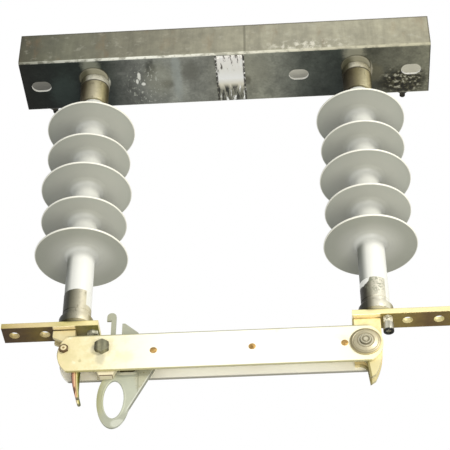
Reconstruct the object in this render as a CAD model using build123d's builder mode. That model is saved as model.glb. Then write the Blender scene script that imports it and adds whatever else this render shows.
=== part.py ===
from build123d import *
from math import cos, radians, sin
import os

# Single-pole knife disconnect switch, hanging as it is mounted: +Z up, +X along the base towards
# the hinge end, +Y to the back. The origin is the middle of the web's upper face, which seats
# against the crossarm, and every length is in millimetres.

# Base channel
base_length = 576
base_width = 94
base_height = 57
base_wall = 4
base_fold = 5
slot_length = 28
slot_width = 20
end_slot_inset = 26
inner_slot_x = 104
nameplate_length = 41
nameplate_width = 86
nameplate_thickness = 1
nameplate_x = 8

# Insulators
insulator_spacing = 370
upper_collar_radius = 20.5
upper_collar_height = 11
upper_fitting_radius = 20
upper_fitting_height = 36
housing_length = 337
stem_radius = 17.5
shed_count = 5
large_shed_radius = 60
small_shed_radius = 56
first_shed_drop = 50
shed_pitch = 56
shed_rim = 3
shed_hollow = 5
shed_rise = 16
shed_rounding = 1.2
lower_fitting_radius = 17.8
lower_fitting_height = 35
lower_collar_radius = 21.5
lower_collar_height = 13
lower_collar_slope = 2.5
stud_radius = 6
stud_depth = 20
stud_socket_width = 8
stud_socket_depth = 3

# Terminal pads
terminal_length = 120
terminal_width = 30
terminal_thickness = 8
terminal_end = 275
terminal_hole_radius = 6.5
terminal_hole_inset = 14.5
terminal_hole_spacing = 38

# Blade, two bars side by side
blade_drop = 13.5
blade_height = 52
bar_thickness = 4
jaw_gap = 18
blade_tip_x = -203
blade_tip_bulge = 12
blade_heel_x = 190
blade_heel_bulge = 16
blade_corner = 6
bar_edge = 0.6
rivet_radius = 4.5
rivet_stand = 0.6
rivet_places = (-86, 33)
heel_rivet_x = 144
bar_spacer_radius = 6.5

# Jaw contact and hinge bracket, bent plates between the bars
leg_clearance = 0.3
leg_thickness = 4
leg_bend = 3
contact_x = -211
contact_length = 34.5
contact_shoulder_length = 27.5
contact_shoulder = 11
contact_neck = 25
horn_width = 8.3
horn_root = 54
horn_bend = 78
horn_length = 102.5
horn_sweep = 3.5
horn_tip = 4.4
horn_tip_lean = 17
bracket_x = 155
bracket_length = 34
bracket_depth = 61
claw_back = 40
claw_shoulder = 6
claw_throat = 9
claw_tip = 17
claw_length = 88
claw_point_rise = 4.5
claw_point_width = 6.5

# Pivot
pivot_x = 169
pivot_radius = 6
running_clearance = 0.05
dish_radius = 19
dish_height = 4.5
dish_thickness = 1.8
dish_flat_radius = 10.5
pivot_head_radius = 7
pivot_head_height = 7
pivot_nut_width = 19
pivot_nut_height = 8
pivot_bolt_stand = 1

# Clamp bolt that carries the latch, and the tip bolt
clamp_x = -148.5
clamp_rise = 6.5
clamp_radius = 5
clamp_head_width = 17
clamp_head_height = 6.5
clamp_bolt_stand = 3
clamp_block_inset = 4.2
clamp_block_width = 21.5
clamp_block_shift = 4
clamp_block_corner = 3
clamp_block_drop = 6.5
clamp_block_wide = 25
clamp_block_taper = 5
tip_bolt_x = -195
tip_bolt_radius = 2.5
tip_head_width = 10.5
tip_head_height = 3.5
tip_sleeve_radius = 4.7

# Latch lever with its hook and pull ring
latch_thickness = 3
latch_side_clearance = 0.3
latch_boss_radius = 12
latch_neck_left = 21.5
latch_neck_width = 18
latch_neck_drop = 20
latch_slit_width = 3.3
latch_slit_height = 12
hook_arm_width = 6
hook_reach = 11.5
hook_right = 13.7
hook_rise = 61
hook_nose = 3
ring_x = -133
ring_drop = 61
ring_hole_width = 25
ring_hole_height = 54
ring_band = 7.5
ring_foot = 13
latch_web_rise = 18
fin_left = 21.5
fin_width = 3.5
fin_rise = 44
fin_slope_length = 17
fin_slope_drop = 15
latch_notch = 11
wing_x = 64.5
wing_drop = 24

# Screws
screw_radius = 4
screw_head_width = 13
screw_head_height = 5.5
screw_washer_radius = 8
screw_washer_thickness = 1.6
cap_nut_width = 11
cap_nut_height = 9
cap_head_radius = 6.6
cap_head_height = 12.5
cap_screw_front = 7
cap_socket_width = 6
cap_socket_depth = 5
earth_bolt_inset = 36
earth_bolt_height = 13
earth_bolt_stand = 10
left_screw_inset = 8
right_screw_offset = 13

# Levels down the part, each from the piece above it
web_top = 0
web_bottom = web_top - base_wall
flange_top = web_bottom + base_height
fitting_top = web_bottom - upper_collar_height
housing_top = fitting_top - upper_fitting_height
housing_bottom = housing_top - housing_length
collar_top = housing_bottom - lower_fitting_height
terminal_top = collar_top - lower_collar_height
terminal_bottom = terminal_top - terminal_thickness
blade_top = terminal_bottom - blade_drop
blade_middle = blade_top - blade_height / 2
clamp_level = blade_middle + clamp_rise
ring_level = blade_middle - ring_drop
insulator_x = insulator_spacing / 2
bar_inside = jaw_gap / 2
bar_outside = bar_inside + bar_thickness
leg_outside = bar_inside - leg_clearance
leg_inside = leg_outside - leg_thickness
flange_back = base_width / 2
earth_bolt_x = base_length / 2 - earth_bolt_inset
earth_bolt_level = web_bottom + earth_bolt_height
stud_head_radius = stud_radius + base_wall

SIDES = (("left", -1), ("right", 1))
DOWN = (Align.CENTER, Align.CENTER, Align.MAX)
UP = (Align.CENTER, Align.CENTER, Align.MIN)


def upright(x, y, z):
    """Sketch plane facing the front at y, with its own origin at x and z."""
    return Plane(origin=(x, y, z), x_dir=(1, 0, 0), z_dir=(0, -1, 0))


def level(x, y, z):
    """Sketch plane facing up at z, with its own origin at x and y."""
    return Plane(origin=(x, y, z))


def save(piece, name):
    piece.part.label = name
    export_step(piece.part, f"parts/{name}.step")


os.makedirs("parts", exist_ok=True)

# Base: folded steel channel, open side up, slotted in its web
with BuildPart() as base_channel:
    with BuildSketch(Plane.YZ) as channel_section:
        with Locations((0, (web_bottom + flange_top) / 2)):
            Rectangle(base_width, base_height)
        fillet(channel_section.vertices().group_by(Axis.Y)[0], base_fold)
        with BuildSketch(mode=Mode.SUBTRACT) as channel_inside:
            with Locations((0, (web_top + flange_top) / 2)):
                Rectangle(base_width - 2 * base_wall, flange_top - web_top)
            fillet(channel_inside.vertices().group_by(Axis.Y)[0], base_fold - base_wall)
    extrude(amount=base_length / 2, both=True)
    with BuildSketch(level(0, 0, web_bottom)):
        end_slot_x = base_length / 2 - end_slot_inset
        with Locations((-end_slot_x, 0), (inner_slot_x, 0), (end_slot_x, 0)):
            SlotOverall(slot_length, slot_width)
    extrude(amount=base_wall, mode=Mode.SUBTRACT)
    with Locations((-insulator_x, 0, web_top), (insulator_x, 0, web_top)):
        CounterSinkHole(stud_radius, stud_head_radius, depth=base_wall, counter_sink_angle=90)
    with BuildSketch(upright(0, flange_back, earth_bolt_level)):
        with Locations((-earth_bolt_x, 0), (earth_bolt_x, 0)):
            Circle(screw_radius)
    extrude(amount=base_wall, mode=Mode.SUBTRACT)
save(base_channel, "base_channel")

with BuildPart() as nameplate:
    with BuildSketch(level(nameplate_x, 0, web_bottom)):
        Rectangle(nameplate_length, nameplate_width)
    extrude(amount=-nameplate_thickness)
save(nameplate, "nameplate")

# Insulator stacks, the same on both sides, from the base's web down to the terminal pads
for side, sign in SIDES:
    axis_x = sign * insulator_x

    with BuildPart() as upper_collar:
        with Locations((axis_x, 0, web_bottom)):
            Cylinder(upper_collar_radius, upper_collar_height, align=DOWN)
            Cylinder(stud_radius, upper_collar_height, align=DOWN, mode=Mode.SUBTRACT)
    save(upper_collar, f"upper_collar_{side}")

    with BuildPart() as upper_fitting:
        with Locations((axis_x, 0, fitting_top)):
            Cylinder(upper_fitting_radius, upper_fitting_height, align=DOWN)
            Cylinder(stud_radius, stud_depth, align=DOWN, mode=Mode.SUBTRACT)
    save(upper_fitting, f"upper_fitting_{side}")

    with BuildPart() as insulator_housing:
        with BuildSketch(upright(axis_x, 0, housing_top)):
            outline = [(0, 0), (stem_radius, 0)]
            for shed in range(shed_count):
                rim = -first_shed_drop - shed * shed_pitch
                radius = small_shed_radius if shed % 2 else large_shed_radius
                outline += [
                    (stem_radius, rim + shed_rise),
                    (radius, rim + shed_rim),
                    (radius, rim),
                    (stem_radius, rim + shed_hollow),
                ]
            outline += [(stem_radius, -housing_length), (0, -housing_length)]
            with BuildLine():
                Polyline(*outline, close=True)
            make_face()
        revolve(axis=Axis((axis_x, 0, 0), (0, 0, 1)))
        rims = insulator_housing.edges().filter_by(GeomType.CIRCLE)
        rims = rims.filter_by(lambda edge: edge.radius > stem_radius + shed_rise)
        fillet(rims, min(shed_rounding, 0.4 * shed_rim))
    save(insulator_housing, f"insulator_housing_{side}")

    with BuildPart() as lower_fitting:
        with Locations((axis_x, 0, housing_bottom)):
            Cylinder(lower_fitting_radius, lower_fitting_height, align=DOWN)
    save(lower_fitting, f"lower_fitting_{side}")

    with BuildPart() as lower_collar:
        with Locations((axis_x, 0, collar_top)):
            Cylinder(lower_collar_radius, lower_collar_height, align=DOWN)
        shoulder_edge = lower_collar.edges().group_by(Axis.Z)[-1]
        chamfer(shoulder_edge, length=2 * lower_collar_slope, length2=lower_collar_slope)
        if side == "right":
            with Locations((axis_x + right_screw_offset, -cap_screw_front, terminal_top)):
                Cylinder(screw_radius, lower_collar_height, align=UP, mode=Mode.SUBTRACT)
    save(lower_collar, f"lower_collar_{side}")

    # Socket screw down through the web into the fitting, its countersunk head flush in the web
    with BuildPart() as insulator_bolt:
        with Locations((axis_x, 0, web_top)):
            Cone(stud_radius, stud_head_radius, base_wall, align=DOWN)
            Cylinder(stud_radius, web_top - fitting_top + stud_depth, align=DOWN)
        with BuildSketch(level(axis_x, 0, web_top)):
            RegularPolygon(stud_socket_width / 2, 6, major_radius=False)
        extrude(amount=-stud_socket_depth, mode=Mode.SUBTRACT)
    save(insulator_bolt, f"insulator_bolt_{side}")

    # Terminal pad with its two cable holes outboard of the insulator
    pad_middle = sign * (terminal_end - terminal_length / 2)
    hole_middle = sign * (terminal_end - terminal_hole_inset - terminal_hole_spacing / 2)
    screw_place = (axis_x + right_screw_offset, -cap_screw_front)
    if side == "left":
        screw_place = (-(terminal_end - terminal_length + left_screw_inset), 0)
    with BuildPart() as terminal:
        with BuildSketch(level(0, 0, terminal_bottom)):
            with Locations((pad_middle, 0)):
                Rectangle(terminal_length, terminal_width)
            with Locations((hole_middle, 0)):
                with GridLocations(terminal_hole_spacing, 0, 2, 1):
                    Circle(terminal_hole_radius, mode=Mode.SUBTRACT)
            with Locations(screw_place):
                Circle(screw_radius, mode=Mode.SUBTRACT)
        extrude(amount=terminal_thickness)
        bar_ends = terminal.edges().filter_by(GeomType.LINE).filter_by(Axis.Y)
        bar_sides = terminal.edges().filter_by(GeomType.LINE).filter_by(Axis.X)
        chamfer(bar_ends + bar_sides, bar_edge)
    save(terminal, f"terminal_{side}")

    # Earthing bolt through the back flange: head inside the channel, nut and long end behind
    with BuildPart() as earth_bolt:
        earth_x = sign * earth_bolt_x
        nut_face = flange_back + screw_washer_thickness
        shank_end = nut_face + screw_head_height + earth_bolt_stand
        with BuildSketch(upright(earth_x, flange_back, earth_bolt_level)):
            Circle(screw_washer_radius)
        extrude(amount=-screw_washer_thickness)
        with BuildSketch(upright(earth_x, nut_face, earth_bolt_level)):
            RegularPolygon(screw_head_width / 2, 6, major_radius=False)
        extrude(amount=-screw_head_height)
        with BuildSketch(upright(earth_x, flange_back - base_wall, earth_bolt_level)):
            Rectangle(screw_head_width, screw_head_width)
        extrude(amount=screw_head_height)
        with BuildSketch(upright(earth_x, shank_end, earth_bolt_level)):
            Circle(screw_radius)
        extrude(amount=shank_end - flange_back + base_wall)
    save(earth_bolt, f"earth_bolt_{side}")

# Screws under the terminal pads
with BuildPart() as terminal_screw_left:
    left_screw_x = -(terminal_end - terminal_length + left_screw_inset)
    with Locations((left_screw_x, 0, terminal_top)):
        Cylinder(screw_radius, terminal_thickness, align=DOWN)
    with BuildSketch(level(left_screw_x, 0, terminal_bottom)):
        RegularPolygon(screw_head_width / 2, 6, major_radius=False)
    extrude(amount=-screw_head_height)
save(terminal_screw_left, "terminal_screw_left")

right_screw_x = insulator_x + right_screw_offset
with BuildPart() as terminal_nut_right:
    with BuildSketch(level(right_screw_x, -cap_screw_front, terminal_bottom)):
        RegularPolygon(cap_nut_width / 2, 6, major_radius=False)
        Circle(screw_radius, mode=Mode.SUBTRACT)
    extrude(amount=-cap_nut_height)
save(terminal_nut_right, "terminal_nut_right")

with BuildPart() as terminal_screw_right:
    cap_top = terminal_bottom - cap_nut_height
    with Locations((right_screw_x, -cap_screw_front, cap_top)):
        Cylinder(cap_head_radius, cap_head_height, align=DOWN)
    with BuildSketch(level(right_screw_x, -cap_screw_front, cap_top - cap_head_height)):
        RegularPolygon(cap_socket_width / 2, 6, major_radius=False)
    extrude(amount=cap_socket_depth, mode=Mode.SUBTRACT)
    with Locations((right_screw_x, -cap_screw_front, cap_top)):
        Cylinder(screw_radius, collar_top - cap_top, align=UP)
save(terminal_screw_right, "terminal_screw_right")

# Jaw contact: a channel under the left pad whose two legs end in arcing horns
with BuildPart() as static_contact:
    with BuildSketch(upright(contact_x, leg_outside, terminal_bottom)):
        horn_left = contact_length - horn_width
        tip_radius = horn_tip / 2
        tip_middle = (contact_length + horn_sweep - tip_radius, tip_radius - horn_length)

        def on_tip(angle):
            turn = radians(angle + horn_tip_lean)
            return tip_middle[0] + tip_radius * cos(turn), tip_middle[1] + tip_radius * sin(turn)

        with BuildLine():
            Polyline(
                (horn_left, -horn_root),
                (horn_left, -contact_neck),
                (0, -contact_shoulder),
                (0, 0),
                (contact_shoulder_length, 0),
                (contact_shoulder_length, -contact_shoulder),
                (contact_length, -contact_neck),
                (contact_length, -horn_bend),
            )
            TangentArc((contact_length, -horn_bend), on_tip(0), tangent=(0, -1))
            ThreePointArc(on_tip(0), on_tip(-90), on_tip(180))
            TangentArc((horn_left, -horn_root), on_tip(180), tangent=(0, -1))
        make_face()
    extrude(amount=2 * leg_outside)
    bent_edges = static_contact.edges().filter_by(Axis.X).group_by(Axis.Z)[-1]
    fillet(bent_edges, leg_bend)
    with BuildSketch(upright(contact_x, leg_inside, terminal_bottom - leg_thickness)):
        with Locations((contact_length / 2, -horn_length / 2)):
            Rectangle(2 * contact_length, horn_length)
    extrude(amount=2 * leg_inside, mode=Mode.SUBTRACT)
save(static_contact, "static_contact")

# Hinge bracket: the same channel under the right pad, its legs cut away into claws
with BuildPart() as hinge_bracket:
    with BuildSketch(upright(bracket_x, leg_outside, terminal_bottom)):
        throat_start = (claw_shoulder, -bracket_depth)
        throat_end = (claw_shoulder + claw_throat, -bracket_depth - claw_throat)
        point_side = (claw_tip + claw_point_width, claw_point_rise - claw_length)
        with BuildLine():
            Polyline(
                throat_start,
                (0, -bracket_depth),
                (0, 0),
                (bracket_length, 0),
                (bracket_length, -claw_back),
            )
            TangentArc((bracket_length, -claw_back), point_side, tangent=(0, -1))
            Polyline(point_side, (claw_tip, -claw_length), throat_end)
            TangentArc(throat_start, throat_end, tangent=(1, 0))
        make_face()
        with Locations((pivot_x - bracket_x, blade_middle - terminal_bottom)):
            Circle(pivot_radius + running_clearance, mode=Mode.SUBTRACT)
    extrude(amount=2 * leg_outside)
    bent_edges = hinge_bracket.edges().filter_by(Axis.X).group_by(Axis.Z)[-1]
    fillet(bent_edges, leg_bend)
    with BuildSketch(upright(bracket_x, leg_inside, terminal_bottom - leg_thickness)):
        with Locations((bracket_length / 2, -claw_length / 2)):
            Rectangle(2 * bracket_length, claw_length)
    extrude(amount=2 * leg_inside, mode=Mode.SUBTRACT)
save(hinge_bracket, "hinge_bracket")

# Blade: two matching bars, one each side of the contact and the bracket
for bar_name, bar_front in (("front", -bar_inside), ("rear", bar_outside)):
    with BuildPart() as blade_bar:
        with BuildSketch(upright(0, bar_front, blade_middle)) as blade_bar_outline:
            half = blade_height / 2
            tip_corner = blade_tip_x + blade_tip_bulge
            heel_corner = blade_heel_x - blade_heel_bulge
            with BuildLine():
                Line((tip_corner, half), (heel_corner, half))
                ThreePointArc((heel_corner, half), (blade_heel_x, 0), (heel_corner, -half))
                Line((heel_corner, -half), (tip_corner, -half))
                ThreePointArc((tip_corner, -half), (blade_tip_x, 0), (tip_corner, half))
            make_face()
            fillet(blade_bar_outline.vertices(), blade_corner)
        extrude(amount=bar_thickness)
        side_edges = blade_bar.edges().group_by(Axis.Y)
        chamfer(side_edges[0] + side_edges[-1], bar_edge)
        with BuildSketch(upright(0, bar_front, blade_middle)):
            with Locations((pivot_x, 0)):
                Circle(pivot_radius)
            with Locations((clamp_x, clamp_rise)):
                Circle(clamp_radius)
            with Locations((tip_bolt_x, clamp_rise)):
                Circle(tip_bolt_radius)
            with Locations(*[(x, 0) for x in (*rivet_places, heel_rivet_x)]):
                Circle(rivet_radius)
        extrude(amount=bar_thickness, mode=Mode.SUBTRACT)
    save(blade_bar, f"blade_bar_{bar_name}")

# Rivets through both bars with their spacers, and the short ones near the pivot
with BuildPart() as blade_rivets:
    with BuildSketch(upright(0, bar_outside + rivet_stand, blade_middle)):
        with Locations(*[(x, 0) for x in rivet_places]):
            Circle(rivet_radius)
    extrude(amount=2 * (bar_outside + rivet_stand))
save(blade_rivets, "blade_rivets")

with BuildPart() as blade_spacers:
    with BuildSketch(upright(0, bar_inside, blade_middle)):
        with Locations(*[(x, 0) for x in rivet_places]):
            Circle(bar_spacer_radius)
            Circle(rivet_radius, mode=Mode.SUBTRACT)
    extrude(amount=jaw_gap)
save(blade_spacers, "blade_spacers")

with BuildPart() as heel_rivets:
    for rivet_front in (-bar_inside, bar_outside + rivet_stand):
        with BuildSketch(upright(heel_rivet_x, rivet_front, blade_middle)):
            Circle(rivet_radius)
        extrude(amount=bar_thickness + rivet_stand)
save(heel_rivets, "heel_rivets")

# Pivot: headed pin, a dished spring washer on each side, and a nut at the back
with BuildPart() as pivot_bolt:
    pivot_end = bar_outside + dish_height + pivot_nut_height + pivot_bolt_stand
    with BuildSketch(upright(pivot_x, pivot_end, blade_middle)):
        Circle(pivot_radius)
    extrude(amount=pivot_end + bar_outside + dish_height)
    with BuildSketch(upright(pivot_x, -bar_outside - dish_height, blade_middle)):
        Circle(pivot_head_radius)
    extrude(amount=pivot_head_height - dish_height)
save(pivot_bolt, "pivot_bolt")

for washer_name, facing in (("front", -1), ("rear", 1)):
    with BuildPart() as pivot_washer:
        with BuildSketch(Plane(origin=(pivot_x, 0, blade_middle), z_dir=(0, 0, 1))):
            flat = facing * bar_outside
            top = facing * (bar_outside + dish_height)
            skin = facing * dish_thickness
            with BuildLine():
                Polyline(
                    (pivot_radius, top),
                    (dish_flat_radius, top),
                    (dish_radius, flat + skin),
                    (dish_radius, flat),
                    (dish_radius - dish_thickness, flat),
                    (dish_flat_radius - dish_thickness / 2, top - skin),
                    (pivot_radius, top - skin),
                    close=True,
                )
            make_face()
        revolve(axis=Axis((pivot_x, 0, blade_middle), (0, 1, 0)))
    save(pivot_washer, f"pivot_washer_{washer_name}")

with BuildPart() as pivot_nut:
    with BuildSketch(upright(pivot_x, bar_outside + dish_height, blade_middle)):
        RegularPolygon(pivot_nut_width / 2, 6, major_radius=False, rotation=30)
        Circle(pivot_radius, mode=Mode.SUBTRACT)
    extrude(amount=-pivot_nut_height)
save(pivot_nut, "pivot_nut")

# Clamp bolt across the bars: it carries the latch between two spacer blocks
with BuildPart() as clamp_bolt:
    with BuildSketch(upright(clamp_x, -bar_outside, clamp_level)):
        RegularPolygon(clamp_head_width / 2, 6, major_radius=False, rotation=30)
    extrude(amount=clamp_head_height)
    clamp_end = bar_outside + clamp_head_height + clamp_bolt_stand
    with BuildSketch(upright(clamp_x, clamp_end, clamp_level)):
        Circle(clamp_radius)
    extrude(amount=clamp_end + bar_outside)
save(clamp_bolt, "clamp_bolt")

with BuildPart() as clamp_nut:
    with BuildSketch(upright(clamp_x, bar_outside, clamp_level)):
        RegularPolygon(clamp_head_width / 2, 6, major_radius=False, rotation=30)
        Circle(clamp_radius, mode=Mode.SUBTRACT)
    extrude(amount=-clamp_head_height)
save(clamp_nut, "clamp_nut")

latch_side = latch_thickness / 2 + latch_side_clearance
with BuildPart() as clamp_blocks:
    block_left = clamp_block_shift - clamp_block_width / 2
    block_top = blade_height / 2 - clamp_block_inset
    for block_back in (-latch_side, bar_inside):
        with BuildSketch(upright(clamp_x, block_back, blade_middle)):
            with Locations((clamp_block_shift, 0)):
                RectangleRounded(clamp_block_width, 2 * block_top, clamp_block_corner)
            if block_back < 0:
                foot = -blade_height / 2 - clamp_block_drop
                with BuildLine():
                    Polyline(
                        (block_left, 0),
                        (block_left, -block_top),
                        (block_left + clamp_block_taper, foot),
                        (block_left + clamp_block_wide - clamp_block_taper, foot),
                        (block_left + clamp_block_wide, -block_top),
                        (block_left + clamp_block_width, 0),
                        close=True,
                    )
                make_face()
            with Locations((0, clamp_rise)):
                Circle(clamp_radius, mode=Mode.SUBTRACT)
        extrude(amount=bar_inside - latch_side)
save(clamp_blocks, "clamp_blocks")

with BuildPart() as tip_bolt:
    with BuildSketch(upright(tip_bolt_x, -bar_outside, clamp_level)):
        RegularPolygon(tip_head_width / 2, 6, major_radius=False, rotation=30)
    extrude(amount=tip_head_height)
    with BuildSketch(upright(tip_bolt_x, bar_outside + tip_head_height, clamp_level)):
        Circle(tip_bolt_radius)
    extrude(amount=2 * bar_outside + tip_head_height)
    with BuildSketch(upright(tip_bolt_x, bar_outside + tip_head_height, clamp_level)):
        RegularPolygon(tip_head_width / 2, 6, major_radius=False, rotation=30)
    extrude(amount=tip_head_height)
save(tip_bolt, "tip_bolt")

with BuildPart() as tip_sleeve:
    with BuildSketch(upright(tip_bolt_x, bar_inside, clamp_level)):
        Circle(tip_sleeve_radius)
        Circle(tip_bolt_radius, mode=Mode.SUBTRACT)
    extrude(amount=jaw_gap)
save(tip_sleeve, "tip_sleeve")

# Latch lever: one plate with the hook above, the guide fin, and the pull ring below
with BuildPart() as latch_lever:
    ring_middle = (ring_x - clamp_x, ring_level - clamp_level)
    band_width = ring_hole_width / 2 + ring_band
    band_height = ring_hole_height / 2 + ring_foot
    arm_left = hook_right - hook_arm_width
    hook_top = hook_rise - hook_reach / 2
    fin_right = fin_left + fin_width + fin_slope_length
    spacer_x = rivet_places[0] - clamp_x
    spacer_level = blade_middle - clamp_level

    def on_ring(angle):
        """Point of the ring's outer ellipse, the angle counted from the right."""
        turn = radians(angle)
        return (ring_middle[0] + band_width * cos(turn), ring_middle[1] + band_height * sin(turn))

    with BuildSketch(upright(clamp_x, latch_thickness / 2, clamp_level)):
        Circle(latch_boss_radius)
        with Locations(ring_middle):
            Ellipse(band_width, band_height)
        with BuildLine():
            Polyline(
                (latch_boss_radius * cos(radians(250)), latch_boss_radius * sin(radians(250))),
                (0, latch_boss_radius),
                (arm_left, latch_boss_radius),
                (arm_left, hook_top),
                (hook_right, hook_top),
                (hook_right, latch_web_rise),
                (fin_left, latch_web_rise),
                (fin_left, fin_rise),
                (fin_left + fin_width, fin_rise),
                (fin_right, fin_rise - fin_slope_drop),
                (spacer_x - 1.5 * latch_notch, spacer_level + 1.4 * latch_notch),
                (spacer_x - latch_notch, spacer_level - 0.8 * latch_notch),
                (wing_x, -wing_drop),
                on_ring(-67),
                ring_middle,
                on_ring(74),
                (latch_neck_left, -latch_neck_drop),
                close=True,
            )
        make_face()
        with Locations((hook_right - hook_reach / 2, hook_top)):
            Circle(hook_reach / 2)
        with Locations((hook_right - hook_reach / 2, hook_top)):
            Rectangle(hook_reach, 2 * hook_nose, align=(Align.CENTER, Align.MAX))
        with Locations(ring_middle):
            Ellipse(ring_hole_width / 2, ring_hole_height / 2, mode=Mode.SUBTRACT)
        slit_left = latch_neck_left + latch_neck_width
        with Locations((slit_left, on_ring(74)[1])):
            Rectangle(latch_slit_width, latch_slit_height, align=(Align.MIN, Align.MIN), mode=Mode.SUBTRACT)
        Circle(clamp_radius + running_clearance, mode=Mode.SUBTRACT)
    extrude(amount=latch_thickness)
save(latch_lever, "latch_lever")
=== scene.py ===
import math

import bmesh
import bpy
from mathutils import Matrix, Vector


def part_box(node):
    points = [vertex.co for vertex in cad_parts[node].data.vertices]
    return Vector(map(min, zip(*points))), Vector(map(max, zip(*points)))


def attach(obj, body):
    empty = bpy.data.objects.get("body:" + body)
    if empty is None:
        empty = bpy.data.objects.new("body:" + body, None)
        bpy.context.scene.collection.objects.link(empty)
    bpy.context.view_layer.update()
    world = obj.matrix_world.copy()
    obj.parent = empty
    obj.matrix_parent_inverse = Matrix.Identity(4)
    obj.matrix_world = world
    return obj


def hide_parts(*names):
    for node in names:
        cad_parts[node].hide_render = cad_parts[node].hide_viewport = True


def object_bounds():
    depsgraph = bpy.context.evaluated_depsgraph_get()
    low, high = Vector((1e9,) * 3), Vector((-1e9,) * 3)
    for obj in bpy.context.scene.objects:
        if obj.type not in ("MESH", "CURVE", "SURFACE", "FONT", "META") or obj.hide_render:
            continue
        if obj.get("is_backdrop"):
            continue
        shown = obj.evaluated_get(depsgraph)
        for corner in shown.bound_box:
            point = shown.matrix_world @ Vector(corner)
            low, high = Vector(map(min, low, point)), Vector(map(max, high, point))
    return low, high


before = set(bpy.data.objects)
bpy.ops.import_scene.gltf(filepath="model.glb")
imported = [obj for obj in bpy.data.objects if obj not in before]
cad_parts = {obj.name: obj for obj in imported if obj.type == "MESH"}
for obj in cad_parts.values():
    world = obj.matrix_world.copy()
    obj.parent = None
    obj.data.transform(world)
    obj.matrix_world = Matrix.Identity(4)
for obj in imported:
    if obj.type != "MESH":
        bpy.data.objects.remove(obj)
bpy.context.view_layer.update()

# The viewpoint: from below and in front, a little to the hinge side, looking up at the switch as
# it hangs from its crossarm. A long lens keeps the insulators nearly parallel.
camera_data = bpy.data.cameras.new("viewpoint")
camera_data.sensor_width = 36.0
camera_data.lens = 120.0
camera = bpy.data.objects.new("viewpoint", camera_data)
camera.location = (0.0967, -1.4698, -1.5477)
camera.rotation_euler = (math.radians(90 + 40.75), 0.0, math.radians(3.78))
bpy.context.collection.objects.link(camera)
bpy.context.scene.camera = camera
bpy.context.scene.view_settings.view_transform = "Standard"

# The studio: a plain pale floor below the camera, a white surround, and three soft lamps. The
# surround is white only for what looks straight at it or mirrors it, so it adds little light.
floor_drop = 3.2
bpy.ops.mesh.primitive_plane_add(size=20.0, location=(0, 0, -floor_drop))
floor = bpy.context.active_object
floor.name = "studio_floor"
floor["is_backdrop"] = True
floor_paint = bpy.data.materials.new("pale_floor")
floor_paint.use_nodes = True
floor_shader = floor_paint.node_tree.nodes["Principled BSDF"]
floor_shader.inputs["Base Color"].default_value = (0.9, 0.9, 0.9, 1)
floor_shader.inputs["Roughness"].default_value = 0.9
floor.data.materials.append(floor_paint)


def lamp(name, place, size, power, tint):
    data = bpy.data.lights.new(name, "AREA")
    data.shape = "DISK"
    data.size = size
    data.energy = power
    data.color = tint
    light = bpy.data.objects.new(name, data)
    light.location = place
    aim = Vector((0, 0, -0.25)) - Vector(place)
    light.rotation_euler = aim.to_track_quat("-Z", "Y").to_euler()
    bpy.context.collection.objects.link(light)


lamp("key_lamp", (1.5, -2.0, 0.15), 0.7, 41.0, (1.0, 0.98, 0.93))
lamp("fill_lamp", (-1.6, -1.6, -1.2), 1.4, 7.0, (0.93, 0.97, 1.0))
lamp("under_lamp", (0.5, -1.2, -1.6), 1.0, 17.0, (1.0, 0.98, 0.92))

surround = bpy.data.worlds.new("white_surround")
bpy.context.scene.world = surround
surround.use_nodes = True
sky = surround.node_tree
sky.nodes.clear()
rays = sky.nodes.new("ShaderNodeLightPath")
seen = sky.nodes.new("ShaderNodeMath")
seen.operation = "MAXIMUM"
sky.links.new(rays.outputs["Is Camera Ray"], seen.inputs[0])
sky.links.new(rays.outputs["Is Glossy Ray"], seen.inputs[1])
daylight = sky.nodes.new("ShaderNodeBackground")
daylight.inputs["Color"].default_value = (0.94, 0.96, 1.0, 1)
daylight.inputs["Strength"].default_value = 0.45
white = sky.nodes.new("ShaderNodeBackground")
white.inputs["Color"].default_value = (1, 1, 1, 1)
white.inputs["Strength"].default_value = 1.0
either = sky.nodes.new("ShaderNodeMixShader")
sky_out = sky.nodes.new("ShaderNodeOutputWorld")
sky.links.new(seen.outputs[0], either.inputs["Fac"])
sky.links.new(daylight.outputs[0], either.inputs[1])
sky.links.new(white.outputs[0], either.inputs[2])
sky.links.new(either.outputs[0], sky_out.inputs["Surface"])


# Base channel: folded from galvanised strip and hung up for years. Its flanges have gone dull
# khaki with run-off streaks, a painted highlight runs along its fold, and the web underside is
# painted nearly black, partly as painted shade and painted reflection and partly where dirt has
# stuck, and blotched grey where the zinc still shows.
def tone(red, green, blue):
    """A colour from its 0-255 chart values, as the shader wants it."""
    steps = (red / 255, green / 255, blue / 255)
    return (*(s / 12.92 if s <= 0.04045 else ((s + 0.055) / 1.055) ** 2.4 for s in steps), 1.0)


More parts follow.
